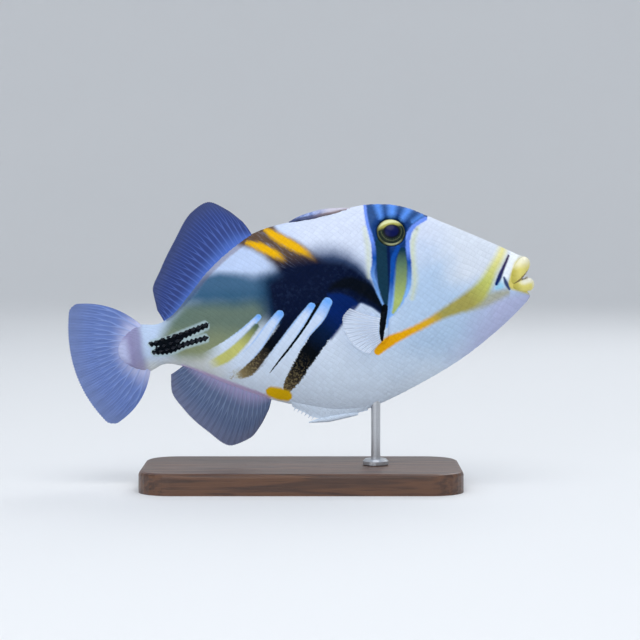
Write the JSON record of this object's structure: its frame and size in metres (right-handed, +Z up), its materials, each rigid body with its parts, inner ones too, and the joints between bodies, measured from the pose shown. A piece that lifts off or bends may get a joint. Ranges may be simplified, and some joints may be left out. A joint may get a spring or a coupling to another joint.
{
  "type": "picasso triggerfish model",
  "caption": "Life-size picasso triggerfish, nose up with its first dorsal fin folded, held over a plain wooden base by one short steel rod.",
  "frame": {"origin": "centre of the stand base's underside", "axes": "+X from tail to snout, +Z up, and the fish's right side faces -Y"},
  "size_m": [0.1992, 0.066, 0.1212],
  "materials": {
    "skin": "satin, patterned",
    "fin": "satin, slightly translucent",
    "clear_fin": "satin, translucent",
    "spine": "satin",
    "lip": "satin",
    "eye": "wet gloss",
    "wood": "dark stain, satin",
    "steel": "brushed"
  },
  "bodies": {
    "root": {"head": "skin", "torso": "skin", "tail": "skin", "pelvic_flap": "skin", "first_dorsal_fin": "spine", "second_dorsal_fin": "fin", "anal_fin": "fin", "caudal_fin": "fin", "pectoral_fin_right": "clear_fin", "pectoral_fin_left": "clear_fin", "eye_right": "eye", "eye_left": "eye", "upper_lip": "lip", "lower_lip": "lip", "stand_base": "wood", "stand_rod": "steel"}
  },
  "joints": []
}
